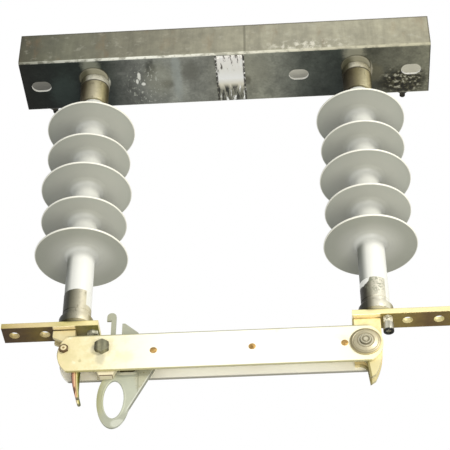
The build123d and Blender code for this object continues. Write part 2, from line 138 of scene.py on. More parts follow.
class Amount:
    """A number that varies over a finish, and that can be worked with like a plain one."""

    def __init__(self, finish, socket):
        self.finish, self.socket = finish, socket

    def __add__(self, other):
        return self.finish.math("ADD", self, other)

    def __sub__(self, other):
        return self.finish.math("SUBTRACT", self, other)

    def __rsub__(self, other):
        return self.finish.math("SUBTRACT", other, self)

    def __mul__(self, other):
        return self.finish.math("MULTIPLY", self, other)

    def __truediv__(self, other):
        return self.finish.math("DIVIDE", self, other)

    def __pow__(self, other):
        return self.finish.math("POWER", self, other)

    def __gt__(self, other):
        return self.finish.math("GREATER_THAN", self, other)

    def __abs__(self):
        return self.finish.math("ABSOLUTE", self)

    __radd__ = __add__
    __rmul__ = __mul__

    def either(self, other):
        return self.finish.math("MAXIMUM", self, other)

    def rise(self, start, end, smooth=True):
        """0 up to start and 1 from end on."""
        kind = "SMOOTHSTEP" if smooth else "LINEAR"
        ranged = {"Value": self, "From Min": start, "From Max": end}
        return Amount(self.finish, self.finish.node("MapRange", ranged, interpolation_type=kind).outputs[0])

    def spread(self, low, high, start=0.3, end=0.7):
        """From low to high as the amount goes from start to end."""
        ranged = {"Value": self, "From Min": start, "From Max": end, "To Min": low, "To Max": high}
        return Amount(self.finish, self.finish.node("MapRange", ranged).outputs[0])

    def tones(self, *stops):
        """The colours of a ramp, each with the amount it stands at."""
        ramp = self.finish.node("ValToRGB", {"Fac": self})
        marks = ramp.color_ramp.elements
        while len(marks) < len(stops):
            marks.new(0.5)
        for mark, (position, colour) in zip(marks, stops):
            mark.position = position
            mark.color = tone(*colour)
        return ramp.outputs["Color"]


class Finish:
    """A finish built up in layers: clouds, bands and patches that lie fixed on the piece."""

    def __init__(self, name, rough, metal=0.0, shine=0.5):
        self.material = bpy.data.materials.new(name)
        self.material.use_nodes = True
        self.tree = self.material.node_tree
        self.shader = self.tree.nodes["Principled BSDF"]
        self.shader.inputs["Roughness"].default_value = rough
        self.shader.inputs["Metallic"].default_value = metal
        self.shader.inputs["Specular IOR Level"].default_value = shine
        self.place = self.tree.nodes.new("ShaderNodeTexCoord").outputs["Object"]
        axes = self.node("SeparateXYZ", {"Vector": self.place}).outputs
        self.x, self.y, self.z = (Amount(self, axis) for axis in axes)

    def node(self, kind, inputs, **settings):
        made = self.tree.nodes.new("ShaderNode" + kind)
        for key, value in settings.items():
            setattr(made, key, value)
        for key, value in inputs.items():
            value = value.socket if isinstance(value, Amount) else value
            if isinstance(value, bpy.types.NodeSocket):
                self.tree.links.new(value, made.inputs[key])
            else:
                made.inputs[key].default_value = value
        return made

    def math(self, operation, first, second=0.0):
        return Amount(self, self.node("Math", {0: first, 1: second}, operation=operation).outputs[0])

    def clouds(self, grain, stretch=(1, 1, 1), detail=4.0, shift=0.0):
        """Soft mottling with blotches about grain metres wide, drawn out along an axis."""
        scale = [1 / (grain * s) for s in stretch]
        moved = {"Vector": self.place, "Location": (shift, shift, shift), "Scale": scale}
        spread = self.node("Mapping", moved).outputs[0]
        noise = {"Vector": spread, "Scale": 1.0, "Detail": detail, "Roughness": 0.6}
        return Amount(self, self.node("TexNoise", noise).outputs["Fac"])

    def away_from(self, centre, reach):
        """How far a place lies from a centre, as a share of the reach along each axis."""
        moved = {"Vector": self.place, "Location": centre, "Scale": reach}
        local = self.node("Mapping", moved, vector_type="TEXTURE").outputs[0]
        return Amount(self, self.node("VectorMath", {0: local}, operation="LENGTH").outputs["Value"])

    def patch(self, centre, reach, soft=0.4, ragged=0.0, grain=0.006):
        """1 inside a round patch and 0 outside it, with a soft and ragged rim."""
        away = self.away_from(centre, reach)
        if ragged:
            away = away + (self.clouds(grain, shift=sum(centre) * 90) * (2 * ragged) - ragged)
        return away.rise(1 + soft / 2, 1 - soft / 2)

    def over(self, under, paint, amount):
        """Paint laid over what is under it."""
        under, paint = (tone(*c) if isinstance(c, tuple) else c for c in (under, paint))
        return self.node("Mix", {0: amount, 6: under, 7: paint}, data_type="RGBA").outputs[2]

    def scaled(self, colour, factor):
        return self.node("VectorMath", {0: colour, "Scale": factor}, operation="SCALE").outputs["Vector"]

    def shaded(self, colour, amount, low, high):
        """The colour darkened to low and lightened to high as the amount goes from 0 to 1."""
        level = amount.rise(0.3, 0.7, smooth=False)
        return self.scaled(colour, level.spread(low, high, 0.0, 1.0))

    def lay(self, colour, rough=None, relief=None, depth=0.0002):
        """Put the layers on the shader: colour, roughness from low to high, and relief."""
        self.tree.links.new(colour, self.shader.inputs["Base Color"])
        if rough:
            amount, low, high = rough
            self.tree.links.new(amount.spread(low, high).socket, self.shader.inputs["Roughness"])
        if relief:
            bump = self.node("Bump", {"Height": relief, "Distance": depth, "Strength": 1.0})
            self.tree.links.new(bump.outputs["Normal"], self.shader.inputs["Normal"])


def coat(node, finish):
    """Give a CAD node its finish."""
    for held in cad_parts[node].material_slots:
        held.material = finish.material


base_low, base_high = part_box("base_channel")
steel = Finish("weathered_steel", rough=0.6, metal=0.15, shine=0.3)
run = steel.x.rise(base_low.x, base_high.x, smooth=False)
# The flange darkens towards its left end, partly weathering and partly painted shade.
flange = run.tones(
    (0.0, (74, 72, 57)), (0.1, (102, 102, 86)), (0.25, (115, 113, 97)), (0.45, (146, 143, 124)),
    (0.7, (156, 153, 134)), (1.0, (156, 152, 131))
)
streaks = steel.clouds(0.011, stretch=(1, 1, 9))
mottle = steel.clouds(0.03, stretch=(1.4, 1, 0.8), shift=3.0)
blotches = steel.clouds(0.009, detail=7.0, shift=6.0)
flange = steel.shaded(flange, streaks, 0.84, 1.12)
flange = steel.shaded(flange, mottle, 0.86, 1.12)
flange = steel.shaded(flange, blotches, 0.88, 1.1)
rust_wash = steel.clouds(0.022, stretch=(1, 1, 3), shift=8.0).rise(0.56, 0.72)
flange = steel.over(flange, (128, 104, 74), rust_wash * 0.3)
pale_wash = steel.clouds(0.01, stretch=(1.4, 1, 1), shift=12.0).rise(0.56, 0.72)
flange = steel.over(flange, (192, 190, 174), pale_wash * 0.22)
rubbed_patch = steel.patch((0.118, base_low.y, 0.006), (0.05, 0.02, 0.009), soft=1.0, ragged=0.5)
scuffs = blotches.rise(0.46, 0.6) * rubbed_patch
flange = steel.over(flange, (216, 212, 196), scuffs * 0.7)
seam = steel.patch((0.03, base_low.y, 0.024), (0.0016, 0.02, 0.05), soft=0.9, ragged=0.3)
flange = steel.over(flange, (96, 94, 78), seam * 0.6)
# The flange's top edge and cut ends are painted darker.
top_edge = steel.z.rise(base_high.z - 0.0024, base_high.z - 0.0008)
out_x = abs(steel.x)
cut_end = out_x.rise(base_high.x - 0.0022, base_high.x - 0.0006)
dark_edges = top_edge.either(cut_end) * 0.7
flange = steel.over(flange, (62, 60, 48), dark_edges)
out_y = abs(steel.y)
inner_face = out_y.rise(base_high.y - 0.0022, base_high.y - 0.0035) * 0.75
inner_tone = run.tones((0.0, (128, 126, 118)), (0.6, (212, 210, 198)), (1.0, (180, 178, 162)))
flange = steel.over(flange, inner_tone, inner_face)

# The web underside is painted dark, partly as painted shade and painted reflection of dark surroundings and
# partly dirt, with grey and black blotches over it.
web = run.tones(
    (0.0, (29, 30, 24)), (0.1, (34, 41, 36)), (0.2, (50, 57, 53)), (0.27, (106, 108, 102)),
    (0.37, (148, 150, 140)), (0.45, (132, 133, 123)), (0.56, (146, 146, 130)), (0.64, (126, 128, 116)),
    (0.69, (82, 86, 78)), (0.78, (60, 66, 60)), (0.87, (92, 92, 79)), (1.0, (134, 133, 113))
)
smears = steel.clouds(0.02, stretch=(1, 1.6, 1), shift=5.0)
specks = steel.clouds(0.0035, detail=6.0, shift=1.0)
crusts = steel.clouds(0.008, detail=7.0, shift=15.0)
web = steel.shaded(web, smears, 0.74, 1.25)
web = steel.shaded(web, crusts, 0.82, 1.16)
web = steel.shaded(web, specks, 0.86, 1.14)
for where, reach, colour, amount in (
    ((-0.104, -0.025, 0), (0.0075, 0.0155, 1), (52, 54, 50), 0.85),
    ((-0.068, -0.012, 0), (0.007, 0.05, 1), (166, 172, 166), 0.55),
    ((-0.049, -0.016, 0), (0.012, 0.02, 1), (102, 102, 92), 0.7),
    ((-0.083, 0.006, 0), (0.009, 0.008, 1), (66, 64, 52), 0.7),
    ((-0.094, -0.004, 0), (0.02, 0.03, 1), (158, 158, 140), 0.45),
    ((-0.145, -0.018, 0), (0.006, 0.003, 1), (120, 122, 116), 0.7),
    ((-0.23, 0.012, 0), (0.02, 0.03, 1), (62, 74, 68), 0.55),
    ((-0.188, -0.036, 0), (0.012, 0.014, 1), (146, 148, 132), 0.8),
    ((0.182, -0.036, 0), (0.014, 0.014, 1), (160, 158, 138), 0.85),
    ((0.212, 0.004, 0), (0.011, 0.016, 1), (120, 116, 92), 0.6),
    ((0.232, 0.026, 0), (0.016, 0.011, 1), (40, 38, 24), 0.75),
    # the next two near-white spots beside the collars are painted highlights
    ((-0.166, -0.004, 0), (0.0028, 0.008, 1), (222, 222, 208), 0.9),
    ((0.205, -0.004, 0), (0.0028, 0.011, 1), (196, 190, 168), 0.8),
    ((0.04, -0.012, 0), (0.024, 0.03, 1), (150, 149, 132), 0.45),
    ((0.031, 0.006, 0), (0.005, 0.008, 1), (84, 82, 66), 0.6),
):
    spot = steel.patch(where, reach, soft=0.9, ragged=0.45)
    web = steel.over(web, colour, spot * amount)
# Pale marks with dark outer rings around each collar are painted reflections of the collars in the web,
# darker on their left as painted shade.
arc_y, arc = -0.0115, 0.0198
for arc_x in (-0.1855, 0.1845):
    for radius, colour in ((0.0212, (74, 70, 54)), (arc, (182, 178, 156)), (0.0175, (160, 156, 134))):
        shine = steel.patch((arc_x, arc_y, 0), (radius, radius, 1), soft=0.08, ragged=0.03)
        web = steel.over(web, colour, shine * 0.85)
    shine = steel.patch((arc_x, arc_y, 0), (arc, arc, 1), soft=0.08, ragged=0.03)
    dusky = steel.patch((arc_x - 0.017, arc_y, 0), (0.013, 0.026, 1), soft=0.9, ragged=0.2)
    web = steel.over(web, (84, 82, 60), dusky * (shine * 0.9))
flecked = steel.patch((-0.113, 0.008, 0), (0.024, 0.036, 1), soft=1.2, ragged=0.3)
flecks = steel.clouds(0.0046, stretch=(0.8, 1.5, 1), detail=5.0, shift=31.0).rise(0.58, 0.64)
web = steel.over(web, (190, 192, 180), flecks * flecked)
for where, reach in (
    ((-0.1215, -0.012, 0), (0.0022, 0.0075, 1)), ((-0.125, -0.001, 0), (0.0018, 0.0045, 1)),
    ((-0.1165, 0.004, 0), (0.0028, 0.003, 1))
):
    fleck = steel.patch(where, reach, soft=0.6, ragged=0.6, grain=0.003)
    web = steel.over(web, (238, 238, 228), fleck)
pitted = steel.patch((0.254, 0.021, 0), (0.029, 0.026, 1), soft=0.8, ragged=0.45)
pits = steel.clouds(0.0058, detail=2.0, shift=52.0)
pit_tones = pits.tones(
    (0.4, (20, 18, 11)), (0.5, (52, 49, 34)), (0.58, (102, 99, 76)), (0.67, (196, 193, 174))
)
web = steel.over(web, pit_tones, pitted * 0.88)
rear_edge = steel.y.rise(base_high.y - 0.0035, base_high.y - 0.0015)
ends = rear_edge.either(out_x.rise(base_high.x - 0.002, base_high.x - 0.0006))
web = steel.over(web, (24, 24, 18), ends * 0.75)

# The web's colour, dark partly as painted shade and painted reflection, goes on the underside.
web_underside = steel.z.rise(base_low.z + 0.0012, base_low.z + 0.0004)
colour = steel.over(flange, web, web_underside)
# A thin pale line painted along the fold is a painted highlight, broken up in places.
out_fold = out_y - steel.z
fold_reach = base_high.y - base_low.z
fold_highlight = out_fold.rise(fold_reach - 0.0037, fold_reach - 0.0032)
fold_highlight_tones = run.tones(
    (0.0, (128, 127, 112)), (0.12, (186, 186, 174)), (0.28, (226, 226, 214)), (0.5, (214, 212, 196)),
    (0.62, (206, 203, 184)), (0.75, (184, 180, 158)), (1.0, (176, 172, 146))
)
highlight_breaks = steel.clouds(0.009, stretch=(1.6, 1, 1), detail=6.0, shift=9.0).rise(0.36, 0.56)
colour = steel.over(colour, fold_highlight_tones, fold_highlight * highlight_breaks.either(0.3))
# The slot walls through the web are painted near white as a painted highlight.
slot_highlight = steel.z.rise(base_low.z + 0.0002, base_low.z + 0.0006) * steel.z.rise(-0.0002, -0.0006)
slot_highlight = slot_highlight * out_y.rise(0.02, 0.015)
colour = steel.over(colour, (240, 238, 228), slot_highlight)
steel.lay(colour, rough=(mottle, 0.45, 0.7), relief=specks, depth=0.0002)
coat("base_channel", steel)


# Nameplate: a bare strip of thin aluminium across the web, with a pressed border and a small
# rivet in each corner. Years of rubbing have scratched it along its length.
def hang(name, finish, body, material_slot, parts, *nodes):
    """Join worked parts into a piece that rides its body, in place of the CAD nodes named. Each
    part comes with its centre and the way that its own axis faces."""
    aims = {
        "up": Matrix.Identity(4),
        "down": Matrix.Rotation(math.pi, 4, "X"),
        "front": Matrix.Rotation(math.pi / 2, 4, "X"),
        "back": Matrix.Rotation(-math.pi / 2, 4, "X"),
    }
    shape = bmesh.new()
    for part, centre, facing in parts:
        bmesh.ops.remove_doubles(part, verts=part.verts[:], dist=1e-6)
        bmesh.ops.recalc_face_normals(part, faces=part.faces[:])
        part.transform(Matrix.Translation(centre) @ aims[facing])
        held = bpy.data.meshes.new("held")
        part.to_mesh(held)
        part.free()
        shape.from_mesh(held)
        bpy.data.meshes.remove(held)
    mesh = bpy.data.meshes.new(name)
    shape.to_mesh(mesh)
    shape.free()
    mesh.shade_smooth()
    mesh.set_sharp_from_angle(angle=math.radians(32))
    mesh.materials.append(finish.material)
    piece = bpy.data.objects.new(name, mesh)
    bpy.context.collection.objects.link(piece)
    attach(piece, body)
    if nodes:
        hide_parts(*nodes)


def turned(profile, eased=0.0, rounds=3, steps=48):
    """A turned part from (radius, height) points, its inner corners eased."""
    part = bmesh.new()
    points = [part.verts.new((radius, 0, height)) for radius, height in profile]
    for pair in zip(points, points[1:]):
        part.edges.new(pair)
    if eased:
        corners = [p for p in points[1:-1] if p.co.x > 1e-6]
        round_off = {"affect": "VERTICES", "segments": rounds, "profile": 0.5, "material": -1}
        bmesh.ops.bevel(part, geom=corners, offset=eased, **round_off)
    spun = part.verts[:] + part.edges[:]
    whole = {"cent": (0, 0, 0), "axis": (0, 0, 1), "angle": 2 * math.pi, "use_merge": True}
    bmesh.ops.spin(part, geom=spun, steps=steps, **whole)
    return part


def block(low, high, eased=0.0):
    """A block between two corners, its edges eased."""
    part = bmesh.new()
    bmesh.ops.create_cube(part, size=1.0)
    bmesh.ops.scale(part, vec=Vector(high) - Vector(low), verts=part.verts)
    bmesh.ops.translate(part, vec=(Vector(high) + Vector(low)) / 2, verts=part.verts)
    if eased:
        round_off = {"affect": "EDGES", "segments": 2, "profile": 0.5, "material": -1}
        bmesh.ops.bevel(part, geom=part.edges[:], offset=eased, **round_off)
    return part


def middle(node):
    """The middle of a CAD node's box."""
    low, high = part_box(node)
    return (low + high) / 2


plate_low, plate_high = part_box("nameplate")
plate = block(plate_low, plate_high, eased=0.0002)
face = min(plate.faces, key=lambda f: f.calc_center_median().z)
for thickness, depth in ((0.0015, 0), (0.0006, -0.0003), (0.0007, 0), (0.0006, 0.0003)):
    bmesh.ops.inset_individual(plate, faces=[face], thickness=thickness, depth=depth)
plate_parts = [(plate, (0, 0, 0), "up")]
rivet_inset = 0.004
rivet_dome = [(0, 0.0012), (0.0012, 0.0011), (0.0021, 0.0005), (0.0023, 0), (0, 0)]
for x in (plate_low.x + rivet_inset, plate_high.x - rivet_inset):
    for y in (plate_low.y + rivet_inset, plate_high.y - rivet_inset):
        plate_parts.append((turned(rivet_dome, steps=16), (x, y, plate_low.z), "down"))

aluminium = Finish("nameplate_aluminium", rough=0.35, metal=0.1, shine=0.6)
sheet = aluminium.y.rise(plate_low.y, plate_high.y, smooth=False).tones(
    (0.0, (252, 248, 240)), (0.3, (244, 242, 232)), (0.5, (255, 255, 250)), (0.64, (232, 226, 204)),
    (0.76, (150, 148, 130)), (1.0, (108, 108, 94))
)
scratches = aluminium.clouds(0.0042, stretch=(1, 6, 1), detail=6.0)
front_half = aluminium.y.rise(-0.008, -0.02)
back_end = aluminium.y.rise(0.008, 0.02)
sheet = aluminium.over(sheet, (84, 76, 66), scratches.rise(0.55, 0.61) * front_half)
sheet = aluminium.over(sheet, (52, 52, 44), scratches.rise(0.5, 0.57) * back_end)
worn = (front_half * 0.95).either(back_end)
sheet = aluminium.over(sheet, (252, 252, 246), scratches.rise(0.42, 0.37) * worn)
to_side = abs(aluminium.x - middle("nameplate").x)
half_width = (plate_high.x - plate_low.x) / 2
grime = aluminium.clouds(0.005, shift=2.0).rise(0.36, 0.5)
grime = grime * to_side.rise(half_width - 0.0035, half_width - 0.0015)
sheet = aluminium.over(sheet, (58, 56, 46), grime)
aluminium.lay(sheet, rough=(scratches, 0.25, 0.5), relief=scratches, depth=0.0001)
hang("nameplate_sheet", aluminium, "frame", "plate_aluminium", plate_parts, "nameplate")


# Earthing bolts: one at each end through the back flange, with a square head inside the channel
# and a washer, nut and long thread behind it. Zinc plated steel, gone dark outdoors.
def rod(radius, start, end, **settings):
    """A plain turned rod or disc from one height to another."""
    return turned([(0, start), (radius, start), (radius, end), (0, end)], **settings)


def hexagon(across, height):
    """A hexagon head or nut, its top corners turned off by a shallow cone."""
    part = bmesh.new()
    bmesh.ops.create_circle(part, segments=60, radius=1.0, cap_ends=True)
    half, slope, land = across / 2, math.tan(math.radians(30)), 0.96
    for rim in part.verts:
        turn = (math.atan2(rim.co.y, rim.co.x) + math.pi / 6) % (math.pi / 3) - math.pi / 6
        rim.co *= half / math.cos(turn)
    for step in ("sides", "cone"):
        top = max(part.faces, key=lambda f: f.calc_center_median().z)
        raised = bmesh.ops.extrude_face_region(part, geom=[top])["geom"]
        bmesh.ops.delete(part, geom=[top], context="FACES_ONLY")
        for rim in [v for v in raised if isinstance(v, bmesh.types.BMVert)]:
            away = math.hypot(rim.co.x, rim.co.y)
            if step == "sides":
                rim.co.z = height - (away - land * half) * slope
            else:
                rim.co = Vector((rim.co.x, rim.co.y, 0)) * land * half / away + Vector((0, 0, height))
    ring = [e for e in part.edges if e.is_boundary]
    if ring:
        bmesh.ops.holes_fill(part, edges=ring)
    return part


def threaded(radius, length, pitch=0.001, point=0.0008):
    """A bolt's end: its thread as fine turned ridges, and a chamfered point."""
    profile = [(0, 0), (radius, 0)]
    height = pitch / 2
    while height < length - point - pitch:
        profile += [(radius - 0.3 * pitch, height), (radius, height + pitch / 2)]
        height += pitch
    profile += [(radius, length - point), (radius - point, length), (0, length)]
    return turned(profile, steps=32)


zinc = Finish("zinc_plated_steel", rough=0.42, metal=0.45, shine=0.5)
dull = zinc.clouds(0.006, detail=5.0)
plating = dull.tones((0.35, (112, 110, 92)), (0.5, (158, 156, 136)), (0.65, (198, 196, 178)))
rust = zinc.clouds(0.004, shift=7.0).rise(0.6, 0.72)
plating = zinc.over(plating, (118, 84, 48), rust * 0.5)
zinc.lay(plating, rough=(dull, 0.35, 0.6), relief=dull, depth=0.0001)

weathered_bolt = Finish("weathered_bolt", rough=0.6, metal=0.2, shine=0.4)
crust = weathered_bolt.clouds(0.004, detail=5.0, shift=4.0)
scale = crust.tones((0.35, (22, 20, 15)), (0.5, (44, 41, 31)), (0.6, (84, 80, 62)), (0.7, (196, 194, 180)))
weathered_bolt.lay(scale, rough=(crust, 0.5, 0.75), relief=crust, depth=0.0003)

base_wall, square, head_height, nut_height, shank = 0.004, 0.0065, 0.0055, 0.0055, 0.004
washer_thickness, washer_radius = 0.0016, 0.008
for side in ("left", "right"):
    x, _, z = middle(f"earth_bolt_{side}")
    inside, back = base_high.y - base_wall, base_high.y
    against_nut, past_nut = back + washer_thickness, back + washer_thickness + nut_height
    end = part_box(f"earth_bolt_{side}")[1].y
    head = block((x - square, inside - head_height, z - square), (x + square, inside, z + square), 0.0006)
    bolt = [
        (head, (0, 0, 0), "up"),
        (rod(washer_radius, 0, washer_thickness, eased=0.0004), (x, back, z), "back"),
        (hexagon(2 * square, nut_height), (x, against_nut, z), "back"),
        (threaded(shank, end - past_nut), (x, past_nut, z), "back"),
    ]
    hang(f"earthing_bolt_{side}", weathered_bolt, "frame", "zinc_steel", bolt, f"earth_bolt_{side}")


# Insulator stacks, the same at both ends. A cast collar and an end fitting hang from the web, the
# silicone housing is moulded on with five sheds that droop to sharp rims, alternately large and
# small, and a fitting and a collar close its lower end. Sealant has run down over the lower one.
cast = Finish("cast_fitting", rough=0.45, metal=0.35, shine=0.4)
silicone = Finish("silicone_rubber", rough=0.42, metal=0.0, shine=0.45)

stem, rim, hollow, rise, first, pitch, fillet = 0.0175, 0.003, 0.005, 0.016, 0.05, 0.056, 0.01
radii = (0.06, 0.056, 0.06, 0.056, 0.06)
groove, cut, collar_slope, collar_land = 0.006, 0.0007, 0.0025, 0.005


def outline(node):
    """The level of a round node's lowest point, its radius and its height."""
    low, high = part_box(node)
    return low.z, (high.x - low.x) / 2, high.z - low.z


for side in ("left", "right"):
    x = middle(f"upper_collar_{side}").x
    for node, eased in ((f"upper_collar_{side}", 0.0009), (f"upper_fitting_{side}", 0.0012)):
        foot, radius, height = outline(node)
        ring = [(rod(radius, 0, height, eased=eased), (x, 0, foot), "up")]
        hang(node.replace("upper", "cast"), cast, "frame", "cast_fitting", ring, node)

    housing = f"insulator_housing_{side}"
    foot, _, height = outline(housing)
    housing_top = foot + height
    profile = [(0, 0), (stem, 0)]
    for shed, radius in enumerate(radii):
        level = -first - shed * pitch
        profile += [(stem, level + rise), (radius, level + rim), (radius, level)]
        for turn in (90, 60, 30, 0):
            fillet_x = stem + fillet * (1 - math.cos(math.radians(turn)))
            profile.append((fillet_x, level + hollow - fillet * (1 - math.sin(math.radians(turn)))))
    profile += [(stem, -height), (0, -height)]
    stack = [(turned(profile, eased=0.0014, steps=96), (x, 0, housing_top), "up")]
    hang(f"silicone_housing_{side}", silicone, "frame", "silicone_rubber", stack, housing)

    foot, radius, height = outline(f"lower_fitting_{side}")
    profile = [(0, 0), (radius, 0), (radius, groove - cut), (radius - cut, groove), (radius, groove + cut)]
    fitting = [(turned(profile + [(radius, height), (0, height)]), (x, 0, foot), "up")]
    hang(f"cast_lower_fitting_{side}", cast, "frame", "cast_fitting", fitting, f"lower_fitting_{side}")
    foot, radius, height = outline(f"lower_collar_{side}")
    profile = [(0, 0), (radius, 0), (radius, height - collar_slope), (radius - collar_land, height)]
    collar = [(turned(profile + [(0, height)], eased=0.0007), (x, 0, foot), "up")]
    hang(f"cast_lower_collar_{side}", cast, "frame", "cast_fitting", collar, f"lower_collar_{side}")
    coat(f"insulator_bolt_{side}", zinc)


def from_stack(finish):
    """How far a place on either stack lies from the stack's own middle, along the base."""
    return finish.x - finish.math("SIGN", finish.x) * stack_x


stack_x = middle("upper_collar_right").x
fitting_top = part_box("upper_fitting_right")[1].z
grit = cast.clouds(0.004, detail=6.0)
cast_radius = 0.019
# Across each fitting and collar the colour runs dark at the left, lightest right of middle and dark at the
# right edge: painted light and shade on the round metal, set differently on the right stack and on the
# lower castings.
round_it = from_stack(cast).rise(-cast_radius, cast_radius, smooth=False)
metal_tone = round_it.tones(
    (0.0, (48, 42, 28)), (0.2, (80, 72, 52)), (0.36, (130, 123, 98)), (0.5, (164, 156, 131)),
    (0.64, (188, 180, 150)), (0.86, (172, 162, 122)), (1.0, (76, 68, 42))
)
low_tone = round_it.tones(
    (0.0, (34, 33, 22)), (0.26, (46, 45, 32)), (0.38, (100, 97, 80)), (0.54, (146, 142, 124)),
    (0.7, (196, 190, 168)), (0.92, (206, 198, 168)), (1.0, (140, 130, 90))
)
right_stack = cast.x > 0.0
lit_late = round_it.tones(
    (0.0, (52, 47, 35)), (0.3, (84, 76, 56)), (0.5, (122, 114, 84)), (0.66, (150, 142, 112)),
    (0.8, (190, 182, 146)), (0.92, (184, 172, 132)), (1.0, (80, 72, 46))
)
metal_tone = cast.over(metal_tone, lit_late, right_stack)
lit_early = round_it.tones(
    (0.0, (34, 32, 22)), (0.2, (46, 44, 32)), (0.32, (112, 108, 92)), (0.44, (186, 182, 164)),
    (0.62, (206, 202, 186)), (0.92, (206, 202, 180)), (1.0, (140, 130, 90))
)
low_tone = cast.over(low_tone, lit_early, right_stack)
lowered = cast.z.rise(-0.2, -0.3)
metal_tone = cast.over(metal_tone, low_tone, lowered)
collar_tone = round_it.tones(
    (0.0, (70, 66, 48)), (0.18, (108, 104, 80)), (0.36, (200, 196, 178)), (1.0, (156, 148, 116))
)
# The right part of each collar, most on the left stack, is lightened as a painted highlight.
collar_highlight = (0.6 - right_stack * 0.56) * round_it.rise(0.18, 0.4)
collar_tone = cast.over(collar_tone, (216, 214, 200), collar_highlight)
collar_tone = cast.shaded(collar_tone, cast.clouds(0.007, detail=6.0, shift=9.0), 0.78, 1.12)
on_collar = cast.z.rise(fitting_top - 0.0006, fitting_top + 0.0006)
metal_tone = cast.over(metal_tone, collar_tone, on_collar)
metal_tone = cast.shaded(metal_tone, grit, 0.9, 1.08)
scabs = cast.clouds(0.006, stretch=(1, 1, 2), shift=5.0).rise(0.58, 0.68)
metal_tone = cast.over(metal_tone, (84, 78, 56), scabs * 0.4)
lichen = cast.patch((stack_x, -0.02, -0.398), (0.011, 0.03, 0.014), soft=0.8, ragged=0.4)
lichen = lichen * cast.clouds(0.003, detail=6.0, shift=13.0).rise(0.46, 0.56)
metal_tone = cast.over(metal_tone, (120, 124, 104), lichen * 0.7)
sealed_down_to = -0.409 - right_stack * 0.012
sealant = from_stack(cast).rise(0.0122, 0.0134) * (cast.z - sealed_down_to).rise(-0.002, 0.001)
smear = cast.patch((stack_x - 0.0155, -0.02, -0.387), (0.0095, 0.05, 0.011), soft=0.15, ragged=0.3)
sealant = (sealant * lowered).either(smear)
metal_tone = cast.over(metal_tone, (236, 236, 228), sealant)
joint = abs(cast.z - fitting_top)
metal_tone = cast.over(metal_tone, (50, 44, 30), joint.rise(0.0013, 0.0005) * 0.75)
cast.lay(metal_tone, rough=(grit, 0.36, 0.55), relief=grit, depth=0.0001)

bloom = silicone.clouds(0.05, stretch=(1, 1, 1.3), detail=3.0)
across, deep = from_stack(silicone), silicone.y
reach = silicone.math("SQRT", across * across + deep * deep)
# The sheds are painted slightly darker towards their rims as painted shade.
shed_tone = reach.rise(0.02, 0.06, smooth=False).tones(
    (0.0, (196, 196, 185)), (0.5, (196, 196, 184)), (0.85, (192, 193, 180)), (1.0, (184, 185, 172))
)
on_right = silicone.x > 0.0
side_light = across.spread(0.78 + on_right * 0.08, 1.04 - on_right * 0.04, -0.055, 0.04)
shed_tone = silicone.scaled(shed_tone, side_light)
# The stems are painted whiter than the sheds as painted light, with painted shade at their left edge and on
# their lowest stretch.
stem_tone = across.rise(-stem, stem, smooth=False).tones(
    (0.0, (112, 114, 106)), (0.12, (140, 142, 134)), (0.3, (218, 218, 210)), (0.5, (227, 227, 220)),
    (1.0, (229, 229, 222))
)
between_sheds = silicone.z.rise(-0.335, -0.325)
stem_tone = silicone.over(stem_tone, (214, 214, 206), between_sheds)
rubber = silicone.over(shed_tone, stem_tone, reach.rise(stem + 0.006, stem + 0.001))
# The lowest shed is painted darker away from its stem as painted shade.
lowest_shed = silicone.z.rise(-0.28, -0.32)
rubber = silicone.over(rubber, (146, 147, 132), lowest_shed * reach.rise(0.022, 0.05) * 0.6)
# A pale band along the shed rims is a painted highlight.
two_sheds = silicone.math("FRACT", (silicone.z + (first - housing_top + pitch / 2)) / (2 * pitch))
at_rim = reach + (two_sheds > 0.5) * (radii[0] - radii[1])
lip = at_rim.rise(radii[0] - 0.0016, radii[0] - 0.0006) * silicone.z.rise(-0.06, -0.07)
rubber = silicone.over(rubber, (240, 238, 224), lip)
rubber = silicone.shaded(rubber, bloom, 0.98, 1.02)
silicone.lay(rubber, rough=(bloom, 0.36, 0.48))


# Terminal pads: flat bars of tinned brass, drilled for the cable lugs. The tin has yellowed, and
# the undersides are painted brown, partly tarnish and partly painted shade.
brass = Finish("tinned_brass", rough=0.4, metal=0.35, shine=0.5)
tarnish = brass.clouds(0.012, stretch=(1.6, 1, 1), detail=6.0)
pad_low, pad_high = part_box("terminal_left")
along_pads = brass.x.rise(pad_low.x, -pad_low.x, smooth=False)
pads = along_pads.tones(
    (0.0, (176, 160, 98)), (0.04, (206, 186, 134)), (0.1, (214, 198, 146)), (0.14, (204, 192, 126)),
    (0.2, (236, 222, 164)), (0.8, (240, 228, 174)), (1.0, (232, 220, 164))
)
pads = brass.shaded(pads, tarnish, 0.9, 1.06)
# The underside colour along the pads mixes tarnish with painted shade and stretches of painted light.
under = brass.z.rise(pad_low.z + 0.0007, pad_low.z + 0.0002)
brown = along_pads.tones(
    (0.0, (78, 58, 34)), (0.05, (92, 72, 34)), (0.085, (118, 98, 38)), (0.115, (74, 54, 26)),
    (0.15, (110, 92, 44)), (0.18, (140, 130, 80)), (0.22, (124, 120, 52)), (0.5, (250, 232, 182)),
    (0.83, (250, 232, 182)), (0.845, (146, 130, 66)), (0.91, (140, 120, 60)), (0.95, (114, 90, 50)),
    (1.0, (126, 106, 54))
)
brown = brass.shaded(brown, tarnish, 0.78, 1.22)
jaw_low, jaw_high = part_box("static_contact")
hinge_low, hinge_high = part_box("hinge_bracket")
shoulder_length = 0.0275
